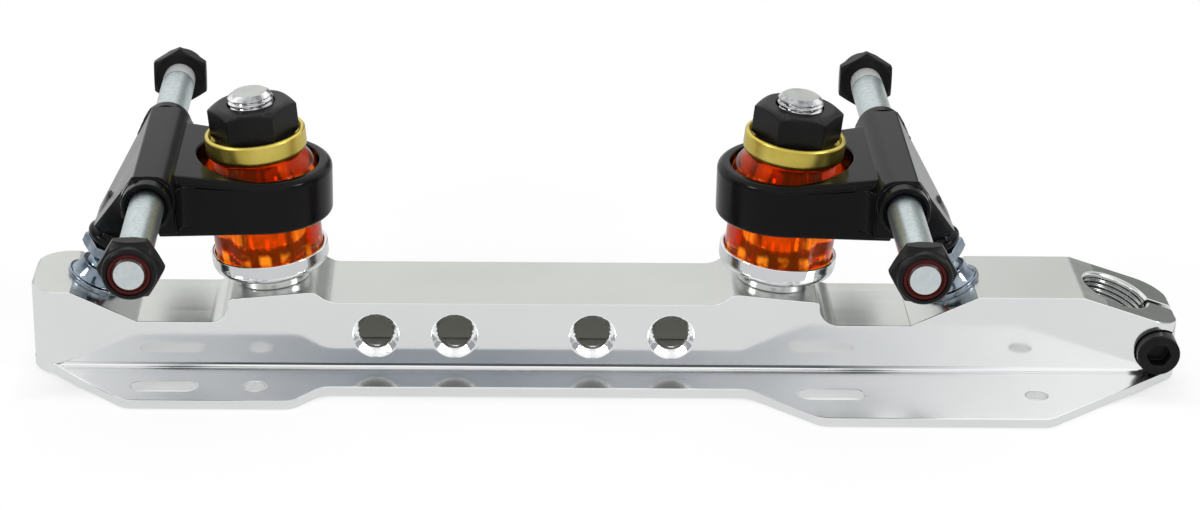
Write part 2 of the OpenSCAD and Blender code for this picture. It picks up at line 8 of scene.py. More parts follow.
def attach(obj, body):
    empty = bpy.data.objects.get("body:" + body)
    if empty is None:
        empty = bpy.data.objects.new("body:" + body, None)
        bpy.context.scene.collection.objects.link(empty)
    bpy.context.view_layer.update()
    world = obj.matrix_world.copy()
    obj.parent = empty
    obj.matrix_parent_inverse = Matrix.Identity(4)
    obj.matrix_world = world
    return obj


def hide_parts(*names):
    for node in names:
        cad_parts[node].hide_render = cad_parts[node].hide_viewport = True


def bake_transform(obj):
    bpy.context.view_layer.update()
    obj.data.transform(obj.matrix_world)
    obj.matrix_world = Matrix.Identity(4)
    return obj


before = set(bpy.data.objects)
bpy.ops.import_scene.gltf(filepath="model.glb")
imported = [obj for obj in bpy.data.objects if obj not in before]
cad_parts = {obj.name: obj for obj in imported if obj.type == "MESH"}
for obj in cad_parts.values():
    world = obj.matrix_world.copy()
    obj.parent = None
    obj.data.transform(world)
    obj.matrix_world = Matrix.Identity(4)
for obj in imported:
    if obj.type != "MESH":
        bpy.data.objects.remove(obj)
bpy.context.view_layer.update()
MM = 0.001

# Sizes repeated from the CAD, in millimetres and degrees

# Trucks: which way outboard is, and the axle's X
TRUCKS = {"front": (1, 66.55), "rear": (-1, -105.05)}
# Kingpin seats: inboard of the axle, above the floor, and their lean
KINGPIN_BACK, SEAT_H, KINGPIN_LEAN = 26.5, 20.7, 5.6
# Heights along a kingpin, from its seat
PIN_FOOT, CUP_FLOOR, CUP_TOP, LOWER_TOP = -14.0, 3.8, 8.4, 20.6
UPPER_LOW, UPPER_TOP, THREAD_LOW, KINGPIN_TOP = 25.2, 31.8, 33.5, 46.7
# Radii about a kingpin
KINGPIN_R, THREAD_R, PIN_WAY = 5.55, 5.3, 5.75
LOWER_R, UPPER_R, CROWN_R = 12.75, 13.5, 10.8
# Toe end of the plate and its split hole for the toe stop
NOSE_X, END_H, TOE_RUN, TOE_SLOPE = 135.25, 21.3, 23.3, 18.7
STOP_BACK, STOP_R, SLIT_W, CLAMP_BACK = 13.8, 7.94, 2.0, 5.3
# Holes, slots and pivots along the plate
SPINE_MID, SIDE_INNER, SIDE_PITCH = -19.25, 16.2, 18.5
FRONT_HOLE, FRONT_SLOT, REAR_HOLE, REAR_SLOT = 33.4, -14.2, 23.15, 2.0
PIVOT_OUT = 15.83
# The spine's hollow: half width, roof and half length
HOLLOW_HALF, HOLLOW_ROOF, HOLLOW_REACH = 9.0, 16.2, 47.3
# Heights and stations where a finish changes; the cove's two bound a painted dark reflection
FLANGE_TOP, POLISH_H, COVE_LOW, COVE_TOP = 10.0, 19.4, 2.9, 5.0
AXLE_SHOULDER, AXLE_FACE, SHOULDER_LINE = 51.2, 62.4, 0.3
# Foot of the pivot arm, where the boss barely shows through: outboard of the axle, height and reach
ARM_OUT, ARM_LOW, ARM_PLAIN = 14.75, 35.5, 7.0

# Sizes of the looks, in millimetres and degrees

# Steps round a turned piece
SIDES = 96
# Edges sharper than the first angle are broken; faces flatter than the second are one
SHARP, FLAT = 30.0, 0.4
PLATE_EDGE, SCREW_EDGE = 0.28, 0.35
# In metres: points closer than the first are one, and faces thinner than the second go
WELD, SLIVER = 2e-6, 1e-6
# Threads: pitch and depth, then the shares of a pitch that are half a crest and a flank
PIN_PITCH, PIN_DEPTH, STOP_PITCH, STOP_DEPTH = 1.2, 0.5, 1.2, 0.5
CREST, FLANK = 0.07, 0.36
# Kingpin: step to its shank, chamfer of its foot, and its tip as (in from the thread, down from the top)
PIN_STEP, PIN_CHAMFER, PIN_LEAD = 0.3, 1.2, 0.9
PIN_TIP = ((0.4, 0.65), (1.3, 0.0))
# Thread of the toe stop hole: its ends below the toe face, and clear of the bore and of the slit
STOP_LOW, STOP_HIGH, BORE_GAP, SLIT_GAP = -15.5, -1.0, 0.02, 0.15
# Cushions: clearance at a fixed seat, how far their ends round in, the bulge and the crown's curve
SEAT_GAP, ROUND_END, ROUND_SIDE, BULGE, CROWN_CURVE = 0.05, 0.8, 0.2, 0.1, 2.2
# Painted glints at the foot of a cushion, blocks of glow for light caught there: how many round it, their
# edge on a sine, their height, and the share of painted glow elsewhere
GLINTS, GLINT_EDGE, GLINT_H, REST_GLOW = 15, 0.1, 2.2, 0.022
# How far a face leans and still counts as level, and how far a finish reaches past its edge
LEVEL, SLACK = 0.55, 0.05

# Studio: light of the tent, and its patches as direction, inner and outer angle and colour
TENT_LIGHT = 0.55
TENT_PATCHES = (
    ((0.0, -0.913, 0.409), 4.5, 9.0, (0.10, 0.13, 0.18)),
    ((0.42, 0.88, 0.20), 8.0, 20.0, (0.24, 0.25, 0.24)),
    ((-0.97, -0.2, 0.15), 15.0, 40.0, (0.35, 0.36, 0.38)),
    ((0.97, -0.2, 0.15), 15.0, 40.0, (0.35, 0.36, 0.38)),
    ((0.0, 0.0, 1.0), 12.0, 38.0, (0.40, 0.41, 0.43)),
)
# Floor: where its painted shade under the plate ends across and along it, the share that is plain white,
# and that white as it is seen and as metal reflects it
DIM_ACROSS, DIM_ALONG, FLOOR_WHITE = (12, 26), (110, 140), 0.72
WHITE_SEEN, WHITE_MIRRORED = (1.08, 1.08, 1.08, 1), (0.72, 0.725, 0.73, 1)
# In metres: the floor's width and height, and the soft boxes as place, target, size and power
FLOOR_SIZE, FLOOR_Z = 8, -0.0003
SOFT_BOXES = {
    "top_box": ((0.0, 0.15, 0.9), (0, 0, 0), (2.0, 1.5), 3.6),
    "left_box": ((-0.9, -0.4, 0.6), (0, 0, 0.03), (0.24, 0.24), 2.2),
    "right_box": ((0.9, -0.4, 0.6), (0, 0, 0.03), (0.24, 0.24), 2.2),
}
# The photograph's camera, fitted to the object: place in metres, then pitch, yaw and roll
CAMERA_AT, CAMERA_TURN = (-0.02743, -0.67744, 0.32711), (24.129, 0.173, 0.416)
LENS, SENSOR, SHIFT = 94.014, 36.0, (0.0851, 0.0079)


# Shader fields

class Field:
    """A value that changes over a surface; arithmetic on it adds Math nodes."""

    def __init__(self, nodes, socket):
        self.nodes, self.socket = nodes, socket

    def _math(self, operation, first, second):
        return self.nodes.add("ShaderNodeMath", {"operation": operation}, {0: first, 1: second})

    def __add__(self, other):
        return self._math("ADD", self, other)

    __radd__ = __add__

    def __sub__(self, other):
        return self._math("SUBTRACT", self, other)

    def __rsub__(self, other):
        return self._math("SUBTRACT", other, self)

    def __mul__(self, other):
        return self._math("MULTIPLY", self, other)

    __rmul__ = __mul__

    def over(self, edge):
        """1 where the value is above an edge."""
        return self._math("GREATER_THAN", self, edge)

    def under(self, edge):
        """1 where the value is below an edge."""
        return self._math("LESS_THAN", self, edge)

    def most(self, other):
        """The larger of two values."""
        return self._math("MAXIMUM", self, other)

    def size(self):
        """The value without its sign."""
        return self._math("ABSOLUTE", self, 0.0)


class Nodes:
    """A node tree that takes one node at a time."""

    def __init__(self, tree):
        self.tree = tree

    def add(self, kind, settings=None, sockets=None, out=0):
        """A node with its settings and its sockets' values or links; gives back one output."""
        node = self.tree.nodes.new(kind)
        for key, value in (settings or {}).items():
            if key == "stops":
                ramp = node.color_ramp.elements
                while len(ramp) < len(value):
                    ramp.new(1.0)
                for element, (place, colour) in zip(ramp, value):
                    element.position, element.color = place, (*colour, 1.0)
            else:
                setattr(node, key, value)
        for key, value in (sockets or {}).items():
            if isinstance(value, Field):
                self.tree.links.new(value.socket, node.inputs[key])
            else:
                node.inputs[key].default_value = value
        return Field(self, node.outputs[out])

    def link(self, field, socket):
        self.tree.links.new(field.socket, socket)

    def ray(self, kind):
        """1 for rays of one kind, by the Light Path node's names."""
        return self.add("ShaderNodeLightPath", out=kind)

    def mix(self, factor, first, second):
        return self.add("ShaderNodeMix", {"data_type": "RGBA"}, {0: factor, 6: first, 7: second}, 2)


class Finish(Nodes):
    """One material: a Principled shader and the nodes that feed it."""

    def __init__(self, name, **constants):
        self.material = bpy.data.materials.new(name)
        self.material.use_nodes = True
        super().__init__(self.material.node_tree)
        self.shader = next(n for n in self.tree.nodes if n.type == "BSDF_PRINCIPLED")
        self.output = next(n for n in self.tree.nodes if n.type == "OUTPUT_MATERIAL")
        for socket, value in constants.items():
            self.shader.inputs[socket.replace("_", " ")].default_value = value

    def place(self):
        """Object coordinates, in metres."""
        return self.add("ShaderNodeTexCoord", out="Object")

    def facing(self):
        """The surface's normal in the object's own axes."""
        return self.add("ShaderNodeTexCoord", out="Normal")

    def part(self, vector, axis):
        """One axis of a vector."""
        return self.add("ShaderNodeSeparateXYZ", None, {0: vector}, "XYZ".index(axis))

    def noise(self, scale, detail, stretch=(1, 1, 1)):
        where = self.add("ShaderNodeMapping", None, {"Vector": self.place(), "Scale": stretch})
        return self.add("ShaderNodeTexNoise", None, {"Vector": where, "Scale": scale, "Detail": detail})

    def ramp(self, value, stops):
        return self.add("ShaderNodeValToRGB", {"stops": stops}, {0: value})

    def spread(self, value, low, high):
        """Takes 0 to 1 onto another range."""
        return value * (high - low) + low

    def rise(self, value, low, high):
        """0 below one value and 1 above another."""
        return self.add("ShaderNodeMapRange", None, {0: value, 1: low, 2: high})

    def feed(self, socket, field):
        self.link(field, self.shader.inputs[socket])

    def bump(self, height, distance, strength):
        sockets = {"Height": height, "Distance": distance, "Strength": strength}
        self.feed("Normal", self.add("ShaderNodeBump", None, sockets))


def polished_aluminium():
    """Mirror walls and flange; satin tops, as a vibratory polish leaves on milled faces."""
    f = Finish("polished_aluminium", Metallic=1.0, Emission_Strength=1.0)
    height, width = f.part(f.place(), "Z"), f.part(f.place(), "Y")
    along = f.part(f.place(), "X") - SPINE_MID * MM
    upward = f.part(f.facing(), "Z")
    level = upward.over(LEVEL)
    top = level * height.over(FLANGE_TOP * MM)
    pocket = top * height.under(POLISH_H * MM)
    flange = level * height.under(FLANGE_TOP * MM)
    cloud = f.noise(26.0, 4.0)
    hair = f.noise(420.0, 2.0, (0.06, 1, 1))
    mirror = f.spread(cloud, 0.08, 0.13) + flange * 0.10
    satin = f.spread(hair, 0.26, 0.40) - pocket * 0.12
    # The hollow's inside: rough, dark grey metal as milled, with a painted glow for the little light in it
    inside = width.size().under((HOLLOW_HALF + SLACK) * MM)
    inside = inside * height.under((HOLLOW_ROOF + SLACK) * MM)
    inside = inside * along.size().under(HOLLOW_REACH * MM)
    f.feed("Roughness", (mirror * (1 - top) + satin * top) * (1 - inside) + inside * 0.5)
    bright = f.ramp(cloud, [(0.3, (0.88, 0.89, 0.89)), (0.7, (0.93, 0.935, 0.93))])
    dull = f.ramp(cloud, [(0.3, (0.58, 0.59, 0.565)), (0.7, (0.64, 0.65, 0.625))])
    # Painted dark reflection: a blue-grey band in the cove between wall and flange, fading out away from
    # the middle of the spine
    cove = height.over(COVE_LOW * MM) * height.under(COVE_TOP * MM)
    cove = cove * upward.over(0.05) * upward.under(0.5)
    painted_band_span = f.ramp(along.size(), [(0.07, (1, 1, 1)), (0.115, (0, 0, 0))])
    walls = f.mix(cove * painted_band_span, bright, (0.10, 0.11, 0.12, 1))
    f.feed("Base Color", f.mix(inside, f.mix(top, walls, dull), (0.20, 0.20, 0.19, 1)))
    # Painted light: the inside of the hollow glows, less towards its roof
    depth = height * (1 / (HOLLOW_ROOF * MM))
    glow = f.ramp(depth, [(0.0, (0.080, 0.080, 0.070)), (0.5, (0.062, 0.062, 0.054))])
    f.feed("Emission Color", f.mix(inside, (0, 0, 0, 1), glow))
    f.bump(f.noise(60.0, 2.0) + hair * 0.15, 0.00004, 0.35)
    return f.material


def cut_aluminium():
    """Cut thread of the toe stop hole, dull with cutting oil."""
    f = Finish("cut_aluminium", Metallic=1.0)
    cloud = f.noise(300.0, 3.0)
    f.feed("Base Color", f.ramp(cloud, [(0.2, (0.26, 0.27, 0.26)), (0.8, (0.40, 0.41, 0.40))]))
    f.feed("Roughness", f.spread(cloud, 0.14, 0.26))
    f.bump(cloud, 0.00002, 0.3)
    return f.material


def black_enamel():
    """Smooth black coat on the hangers, a little orange-peeled."""
    f = Finish("black_enamel", Specular_IOR_Level=0.12)
    cloud = f.noise(55.0, 3.0)
    f.feed("Base Color", f.ramp(cloud, [(0.25, (0.003, 0.003, 0.0035)), (0.8, (0.007, 0.007, 0.0075))]))
    f.feed("Roughness", f.spread(cloud, 0.10, 0.22))
    f.bump(f.noise(900.0, 2.0), 0.00002, 0.25)
    return f.material


def black_oxide():
    """Oiled black oxide on the nuts and the clamp screw."""
    f = Finish("black_oxide", Specular_IOR_Level=0.16)
    cloud = f.noise(160.0, 4.0)
    f.feed("Base Color", f.ramp(cloud, [(0.25, (0.004, 0.004, 0.004)), (0.8, (0.011, 0.0105, 0.010))]))
    f.feed("Roughness", f.spread(cloud, 0.24, 0.44))
    f.bump(f.noise(1500.0, 3.0), 0.00002, 0.4)
    return f.material


def satin_zinc():
    """Blue-white zinc on the ground axles: bright seats for the nuts, sawn ends, red in the lock rings."""
    f = Finish("satin_zinc", Metallic=1.0)
    rings = f.noise(900.0, 2.0, (0.2, 1, 0.2))
    cloud = f.noise(90.0, 4.0)
    speck = f.noise(1100.0, 3.0)
    across = f.part(f.place(), "Y").size()
    disc = f.part(f.facing(), "Y").size().over(0.95)
    lip = across.over(AXLE_FACE * MM) * (1 - disc)
    ends = across.over(AXLE_SHOULDER * MM) * across.under(AXLE_FACE * MM)
    line = ends * across.under((AXLE_SHOULDER + SHOULDER_LINE) * MM)
    satin = f.ramp(speck, [(0.3, (0.46, 0.535, 0.535)), (0.7, (0.64, 0.71, 0.71))])
    bright = f.ramp(cloud, [(0.2, (0.86, 0.88, 0.87)), (0.8, (0.93, 0.95, 0.94))])
    sawn = f.ramp(speck, [(0.3, (0.64, 0.69, 0.70)), (0.7, (0.72, 0.77, 0.78))])
    body = f.mix(ends, f.mix(disc, satin, sawn), bright)
    body = f.mix(line, body, (0.16, 0.18, 0.18, 1))
    f.feed("Base Color", f.mix(lip, body, (0.062, 0.011, 0.010, 1)))
    f.feed("Metallic", 1 - lip - ends * 0.6)
    f.feed("Roughness", f.spread(cloud, 0.28, 0.42) * (1 - ends) + ends * 0.2)
    f.bump(rings + speck * 0.5, 0.00002, 0.4)
    return f.material


def bright_zinc():
    """Bright zinc on the pivot's socket, stud and jam nut."""
    f = Finish("bright_zinc", Metallic=1.0)
    cloud = f.noise(220.0, 3.0)
    f.feed("Base Color", f.ramp(cloud, [(0.25, (0.13, 0.17, 0.22)), (0.75, (0.40, 0.46, 0.52))]))
    f.feed("Roughness", f.spread(cloud, 0.06, 0.16))
    f.bump(cloud, 0.00002, 0.3)
    return f.material


def bright_steel():
    """Bright thread of the kingpins, streaked light and dark by painted reflections, and their sawn, satin
    ends.
    """
    f = Finish("bright_steel", Metallic=1.0)
    cloud = f.noise(240.0, 4.0)
    end = f.part(f.facing(), "Z").over(0.98)
    # Painted reflections: vertical light and dark streaks in the thread's colour
    painted_reflection_streak = f.noise(330.0, 2.0, (1, 1, 0.35))
    bright = f.ramp(painted_reflection_streak, [(0.38, (0.30, 0.30, 0.31)), (0.62, (0.86, 0.86, 0.87))])
    dull = f.ramp(cloud, [(0.2, (0.46, 0.47, 0.45)), (0.8, (0.60, 0.61, 0.585))])
    f.feed("Base Color", f.mix(end, bright, dull))
    f.feed("Roughness", f.spread(cloud, 0.05, 0.12) * (1 - end) + end * 0.42)
    f.bump(cloud, 0.00003, 0.2)
    return f.material


def polished_chrome():
    """Chrome of the lower cups."""
    f = Finish("polished_chrome", Metallic=1.0)
    cloud = f.noise(120.0, 3.0)
    f.feed("Base Color", f.ramp(cloud, [(0.2, (0.74, 0.75, 0.755)), (0.8, (0.80, 0.805, 0.81))]))
    f.feed("Roughness", f.spread(cloud, 0.03, 0.09))
    f.bump(cloud, 0.00002, 0.2)
    return f.material


def yellow_brass():
    """Yellow washers above the upper cushions."""
    f = Finish("yellow_brass", Metallic=1.0)
    cloud = f.noise(140.0, 4.0)
    f.feed("Base Color", f.ramp(cloud, [(0.2, (0.52, 0.40, 0.06)), (0.8, (0.80, 0.66, 0.16))]))
    f.feed("Roughness", f.spread(cloud, 0.24, 0.42))
    f.bump(f.noise(700.0, 3.0, (1, 1, 3)), 0.00003, 0.5)
    return f.material


def red_nylon():
    """Dark red lock rings in the axle nuts."""
    f = Finish("red_nylon", Specular_IOR_Level=0.12)
    cloud = f.noise(300.0, 3.0)
    f.feed("Base Color", f.ramp(cloud, [(0.2, (0.055, 0.007, 0.007)), (0.8, (0.095, 0.012, 0.011))]))
    f.feed("Roughness", f.spread(cloud, 0.35, 0.5))
    f.bump(cloud, 0.00003, 0.3)
    return f.material


def clear_urethane(name, deep, pale, tint, density, glint):
    """Cushion that light passes through, with painted glints, glowing blocks for light its seat sends
    back, and a faint painted glow all over.
    """
    f = Finish(name, IOR=1.46, Transmission_Weight=0.96, Specular_Tint=(0.30, 0.05, 0.01, 1.0),
               Emission_Strength=1.0)
    cloud = f.noise(160.0, 4.0)
    f.feed("Base Color", f.ramp(cloud, [(0.25, deep), (0.75, pale)]))
    f.feed("Roughness", f.spread(cloud, 0.02, 0.05))
    depth = f.add("ShaderNodeVolumeAbsorption", None, {"Color": (*tint, 1.0), "Density": density})
    f.link(depth, f.output.inputs["Volume"])
    # Painted glints and painted glow: emission in the glint blocks, and a faint share of it everywhere
    # else
    painted_glints = f.add("ShaderNodeAttribute", {"attribute_name": "glint"}, out="Fac")
    patchy = f.rise(f.noise(210.0, 2.0), 0.42, 0.62)
    painted_rest_glow = [REST_GLOW * part for part in glint]
    f.feed("Emission Color", f.mix(painted_glints * patchy, (*painted_rest_glow, 1), (*glint, 1)))
    f.bump(f.noise(420.0, 2.0), 0.00004, 0.2)
    return f.material


ALUMINIUM, BORE, ENAMEL, OXIDE = polished_aluminium(), cut_aluminium(), black_enamel(), black_oxide()
AXLE_ZINC, PIVOT_ZINC, STEEL = satin_zinc(), bright_zinc(), bright_steel()
CHROME, BRASS, NYLON = polished_chrome(), yellow_brass(), red_nylon()
URETHANE = {
    "lower": clear_urethane(
        "orange_urethane", deep=(0.99, 0.27, 0.012), pale=(1.0, 0.33, 0.02),
        tint=(0.985, 0.46, 0.03), density=45.0, glint=(0.95, 0.26, 0.012),
    ),
    "upper": clear_urethane(
        "red_urethane", deep=(0.95, 0.13, 0.008), pale=(0.98, 0.18, 0.012),
        tint=(0.62, 0.16, 0.02), density=130.0, glint=(0.60, 0.10, 0.005),
    ),
}


# Modelling

def deselect():
    bpy.ops.object.select_all(action="DESELECT")


def activate(piece):
    deselect()
    piece.select_set(True)
    bpy.context.view_layer.objects.active = piece


def dress(piece, material):
    piece.data.materials.clear()
    piece.data.materials.append(material)


def finish_piece(piece, material, body, node=None, angle=32):
    """Smooths a piece, gives it its finish and its body."""
    activate(piece)
    bpy.ops.object.shade_smooth_by_angle(angle=math.radians(angle))
    even_shading(piece)
    dress(piece, material)
    if body:
        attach(piece, body)
    if node:
        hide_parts(node)


def broken_edges(node, name, width, cuts, segments=2, plain=None):
    """A copy of a CAD node with its sharp edges broken, as a tumbled part has them.

    The cuts, (point in millimetres, normal), pass through its holes, so that no flat face keeps a hole
    in it. Edges in the plain ball, (centre, radius) in millimetres, stay as they are.
    """
    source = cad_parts[node]
    piece = source.copy()
    piece.data = source.data.copy()
    piece.name = piece.data.name = name
    for key in list(piece.keys()):
        del piece[key]
    bpy.context.scene.collection.objects.link(piece)
    piece.parent = None
    piece.matrix_world = Matrix.Identity(4)
    activate(piece)
    bpy.ops.object.mode_set(mode="EDIT")
    bpy.ops.mesh.select_all(action="SELECT")
    bpy.ops.mesh.remove_doubles(threshold=WELD)
    for point, normal in cuts:
        bpy.ops.mesh.select_all(action="SELECT")
        bpy.ops.mesh.bisect(plane_co=Vector(point) * MM, plane_no=normal)
        bpy.ops.mesh.mark_seam()
    bpy.ops.mesh.select_all(action="SELECT")
    bpy.ops.mesh.dissolve_limited(angle_limit=math.radians(FLAT), delimit={"SEAM"})
    bpy.ops.mesh.select_mode(type="EDGE")
    bpy.ops.mesh.select_all(action="DESELECT")
    bpy.ops.mesh.edges_select_sharp(sharpness=math.radians(SHARP))
    bpy.ops.object.mode_set(mode="OBJECT")
    weigh_edges(piece, plain)
    bevel = piece.modifiers.new("edges", "BEVEL")
    bevel.limit_method = "WEIGHT"
    bevel.width = width * MM
    bevel.segments = segments
    bevel.use_clamp_overlap = False
    bevel.miter_outer = "MITER_ARC"
    bevel.face_strength_mode = "FSTR_ALL"
    bpy.ops.object.modifier_apply(modifier=bevel.name)
    keep_on_surface(piece, source, 0.5 * width * MM)
    return piece


def weigh_edges(piece, plain):
    """Gives the selected edges their bevel, but for those that reach into the plain ball."""
    centre, radius = plain or ((0, 0, 0), 0)
    points = piece.data.vertices
    weights = piece.data.attributes.new("bevel_weight_edge", "FLOAT", "EDGE")
    for edge, weight in zip(piece.data.edges, weights.data):
        near = min((points[index].co - Vector(centre) * MM).length for index in edge.vertices)
        weight.value = 1.0 if edge.select and near >= radius * MM else 0.0


def keep_on_surface(piece, source, slack):
    """Brings back the points that a bevel threw off the CAD surface where edges meet at a slant."""
    for vertex in piece.data.vertices:
        _, nearest, _, _ = source.closest_point_on_mesh(vertex.co)
        if (nearest - vertex.co).length > slack:
            vertex.co = nearest
    bpy.ops.object.mode_set(mode="EDIT")
    bpy.ops.mesh.select_all(action="SELECT")
    bpy.ops.mesh.dissolve_degenerate(threshold=SLIVER)
    bpy.ops.object.mode_set(mode="OBJECT")


def even_shading(piece):
    """Lets the large faces set the normals, so that flats stay flat beside their rounded edges."""
    weighted = piece.modifiers.new("weighted", "WEIGHTED_NORMAL")
    weighted.keep_sharp = True
    weighted.use_face_influence = True
    bpy.ops.object.modifier_apply(modifier=weighted.name)


def turned(name, profile):
    """A turned ring about Z: a circle extruded through (radius, height) points, in millimetres."""
    deselect()
    radius, height = profile[0]
    bpy.ops.mesh.primitive_circle_add(vertices=SIDES, radius=radius * MM, location=(0, 0, height * MM))
    piece = bpy.context.object
    piece.name = piece.data.name = name
    bpy.ops.object.transform_apply(location=True)
    bpy.ops.object.mode_set(mode="EDIT")
    bpy.ops.mesh.select_all(action="SELECT")
    for new_radius, new_height in profile[1:]:
        bpy.ops.mesh.extrude_region_move()
        scale = new_radius / radius
        bpy.ops.transform.resize(value=(scale, scale, 1), center_override=(0, 0, 0))
        bpy.ops.transform.translate(value=(0, 0, (new_height - height) * MM))
        radius, height = new_radius, new_height
    bpy.ops.mesh.select_all(action="DESELECT")
    bpy.ops.mesh.select_non_manifold()
    bpy.ops.mesh.bridge_edge_loops()
    bpy.ops.mesh.select_all(action="SELECT")
    bpy.ops.mesh.normals_make_consistent(inside=False)
    bpy.ops.object.mode_set(mode="OBJECT")
    return piece


def kingpin_frame(end):
    """From a turned piece's own axis to a truck's kingpin."""
    side, axle = TRUCKS[end]
    seat = Matrix.Translation(Vector((axle - side * KINGPIN_BACK, 0, SEAT_H)) * MM)
    return seat @ Matrix.Rotation(math.radians(side * KINGPIN_LEAN), 4, "Y")


def on_kingpin(end, height):
    """A point on a truck's kingpin."""
    return kingpin_frame(end) @ Vector((0, 0, height * MM))


def toe_frame():
    """From a turned piece's own axis to the toe stop hole, zero at the toe face."""
    drop = (TOE_RUN - STOP_BACK) * math.tan(math.radians(TOE_SLOPE))
    mouth = Matrix.Translation(Vector((NOSE_X - STOP_BACK, 0, END_H - drop)) * MM)
    return mouth @ Matrix.Rotation(math.radians(TOE_SLOPE), 4, "Y")


def threaded_tube(name, radius, low, high, pitch, depth, start=0.0, sweep=math.tau, rings=10):
    """A helical thread on a tube about Z, in millimetres.

    The depth is taken off the radius at the roots. Rings are the steps in one pitch.
    """
    deselect()
    steps = max(2, round((high - low) / pitch * rings))
    bpy.ops.mesh.primitive_grid_add(x_subdivisions=SIDES, y_subdivisions=steps, size=2)
    piece = bpy.context.object
    piece.name = piece.data.name = name
    for vertex in piece.data.vertices:
        turn = start + (vertex.co.x + 1) / 2 * sweep
        height = low + (vertex.co.y + 1) / 2 * (high - low)
        phase = (height / pitch - turn / math.tau) % 1.0
        flank = min(1.0, max(0.0, (abs(phase - 0.5) - CREST) / FLANK))
        reach = (radius - depth * flank) * MM
        vertex.co = (reach * math.cos(turn), reach * math.sin(turn), height * MM)
    bpy.ops.object.mode_set(mode="EDIT")
    bpy.ops.mesh.select_all(action="SELECT")
    bpy.ops.mesh.remove_doubles(threshold=1e-7)
    bpy.ops.mesh.normals_make_consistent(inside=False)
    bpy.ops.object.mode_set(mode="OBJECT")
    return piece


# The pieces

def across(*stations):
    """Cuts square to the plate, at stations along X."""
    return [((x, 0, 0), (1, 0, 0)) for x in stations]


# The cut along the middle of the plate
MIDDLE = ((0, 0, 0), (0, 1, 0))


def plate():
    """The milled plate, cut at its holes and slots."""
    front, rear = TRUCKS["front"][1], TRUCKS["rear"][1]
    piece = broken_edges("plate", "polished_plate", PLATE_EDGE, [MIDDLE] + across(
        front + FRONT_HOLE, front + FRONT_SLOT, rear + REAR_HOLE, rear + REAR_SLOT,
        front - KINGPIN_BACK, rear + KINGPIN_BACK, front + PIVOT_OUT, rear - PIVOT_OUT,
        SPINE_MID - SIDE_INNER - SIDE_PITCH, SPINE_MID - SIDE_INNER,
        SPINE_MID + SIDE_INNER, SPINE_MID + SIDE_INNER + SIDE_PITCH,
        NOSE_X - STOP_BACK, NOSE_X - CLAMP_BACK,
    ))
    finish_piece(piece, ALUMINIUM, "plate", "plate")


def clamp_screw():
    """The socket screw that closes the toe stop's slit."""
    piece = broken_edges("toe_clamp_screw", "clamp_screw", SCREW_EDGE, across(NOSE_X - CLAMP_BACK), 3)
    finish_piece(piece, OXIDE, "plate", "toe_clamp_screw")


def stop_thread():
    """Thread inside the toe stop hole, open at the slit."""
    gap = math.asin((SLIT_W / 2 + SLIT_GAP) / STOP_R)
    piece = threaded_tube(
        "toe_stop_thread", STOP_R - BORE_GAP, STOP_LOW, STOP_HIGH, STOP_PITCH, STOP_DEPTH,
        start=gap, sweep=math.tau - 2 * gap, rings=8,
    )
    piece.data.transform(toe_frame())
    piece.data.flip_normals()
    finish_piece(piece, BORE, "plate", angle=60)


def mark_glints(piece, low, high):
    """Marks short blocks round a cushion for painted glints, glow for light that its seat gathers and
    sends out again.
    """
    mark = piece.data.attributes.new("glint", "FLOAT", "POINT")
    for vertex, row in zip(piece.data.vertices, mark.data):
        turn = math.atan2(vertex.co.y, vertex.co.x)
        lit = low < vertex.co.z / MM < high and math.sin(GLINTS * turn) > GLINT_EDGE
        row.value = 1.0 if lit else 0.0


def lower_profile():
    """Half section of a lower cushion, which bulges between its rounded ends."""
    seat, low, high, steps = CUP_FLOOR + SEAT_GAP, CUP_FLOOR + 1, LOWER_TOP - 1, 12
    points = [(PIN_WAY, seat), (LOWER_R - ROUND_END, seat), (LOWER_R - ROUND_SIDE, CUP_FLOOR + 0.5)]
    for k in range(steps + 1):
        t = k / steps
        points.append((LOWER_R - BULGE + BULGE * math.sin(math.pi * t), low + t * (high - low)))
    points.append((LOWER_R - ROUND_SIDE, LOWER_TOP - 0.5))
    points += [(LOWER_R - ROUND_END, LOWER_TOP), (PIN_WAY, LOWER_TOP)]
    return points


def upper_profile():
    """Half section of an upper cushion, which draws in to its crown under the washer."""
    seat, low, high, steps = UPPER_TOP - SEAT_GAP, UPPER_LOW + 1.2, UPPER_TOP - 0.5, 8
    points = [(PIN_WAY, UPPER_LOW), (UPPER_R - ROUND_END, UPPER_LOW)]
    points.append((UPPER_R - ROUND_SIDE, UPPER_LOW + 0.4))
    for k in range(steps + 1):
        t = k / steps
        points.append((UPPER_R - (UPPER_R - CROWN_R) * t ** CROWN_CURVE, low + t * (high - low)))
    points += [(CROWN_R - 0.4, seat), (PIN_WAY, seat)]
    return points


def cushions(end):
    """Both cushions of a truck, turned and set on its kingpin between a seat on the plate and the yoke."""
    for kind, profile, fixed, moving, glint in (
        ("lower", lower_profile(), CUP_FLOOR + 1, LOWER_TOP, CUP_TOP),
        ("upper", upper_profile(), UPPER_TOP - 1, UPPER_LOW, UPPER_LOW + 1),
    ):
        node = f"{end}_{kind}_cushion"
        piece = turned(f"{end}_{kind}_urethane", profile)
        mark_glints(piece, glint, glint + GLINT_H)
        piece.data.transform(kingpin_frame(end))
        finish_piece(piece, URETHANE[kind], None, node, angle=50)
        on_kingpin(end, fixed)
        on_kingpin(end, moving)
        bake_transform(piece)


